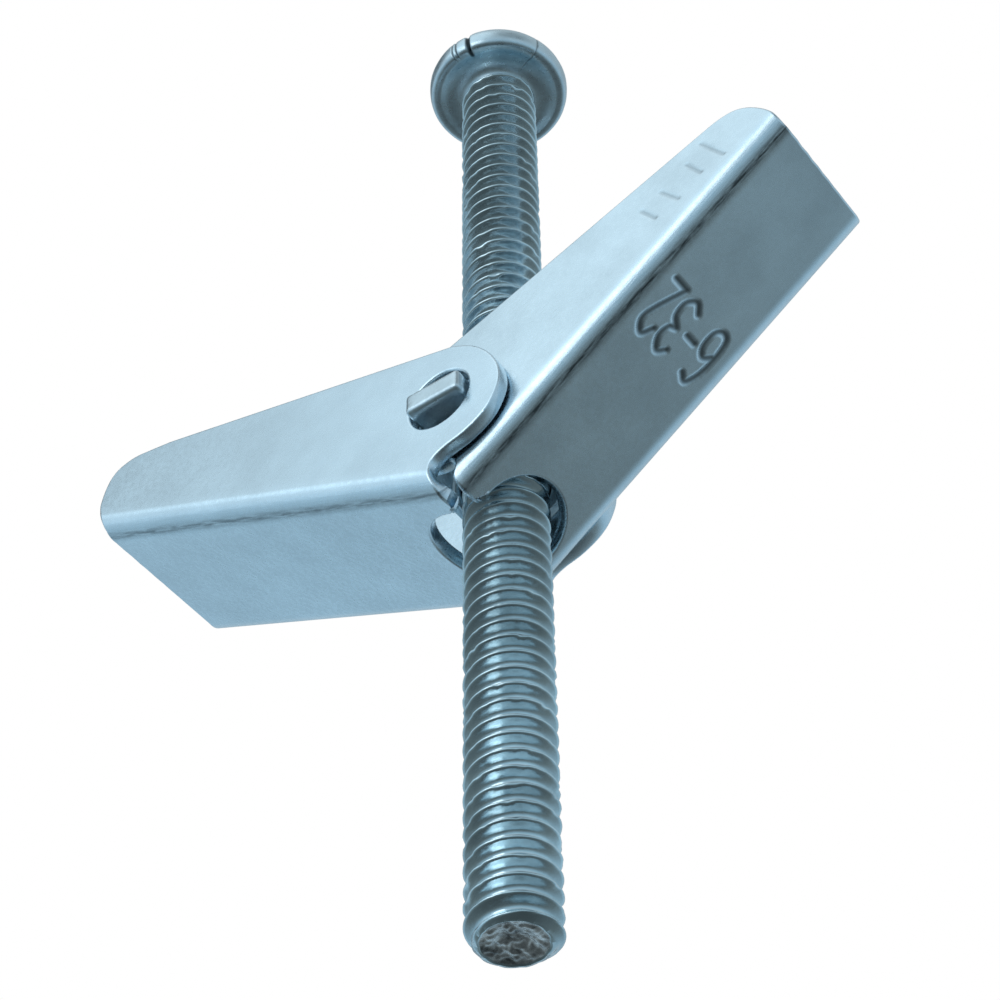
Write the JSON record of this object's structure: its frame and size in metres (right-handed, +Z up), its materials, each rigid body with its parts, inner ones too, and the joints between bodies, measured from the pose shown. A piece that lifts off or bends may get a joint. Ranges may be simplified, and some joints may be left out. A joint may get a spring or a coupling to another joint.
{
  "type": "spring toggle wall anchor",
  "caption": "Spring toggle wall anchor: slotted round-head machine screw with a trunnion nut carrying folded sheet-metal wings that spring open behind a hollow wall.",
  "frame": {"origin": "on the screw axis at the bearing face under the head", "axes": "+Z up the screw to its head, Y along the trunnion the wings pivot on, wings spread along X"},
  "size_m": [0.0345, 0.0094, 0.0522],
  "materials": {
    "zinc_screw": "bright zinc plate",
    "zinc_nut": "bright zinc plate",
    "zinc_sheet": "bright zinc plate",
    "spring_wire": "drawn spring wire"
  },
  "bodies": {
    "screw": {"screw": "zinc_screw"},
    "nut": {"trunnion_nut": "zinc_nut", "torsion_spring": "spring_wire"},
    "outer_wing": {"outer_wing": "zinc_sheet"},
    "inner_wing": {"inner_wing": "zinc_sheet"}
  },
  "joints": [
    {"name": "nut_travel", "type": "slide", "parent": "screw", "child": "nut", "axis": [0, 0, 1], "range_m": [-0.02, 0.004]},
    {"name": "outer_wing_fold", "type": "hinge", "parent": "nut", "child": "outer_wing", "pos_m": [0, 0, -0.026], "axis": [0, 1, 0], "range_deg": [0, 64], "stiffness_Nm_per_rad": 0.003, "springref_deg": -20.05, "deforming": ["torsion_spring"]},
    {"name": "inner_wing_fold", "type": "hinge", "parent": "nut", "child": "inner_wing", "pos_m": [0, 0, -0.026], "axis": [0, 1, 0], "range_deg": [-55, 0], "stiffness_Nm_per_rad": 0.003, "springref_deg": 20.05, "deforming": ["torsion_spring"]}
  ]
}
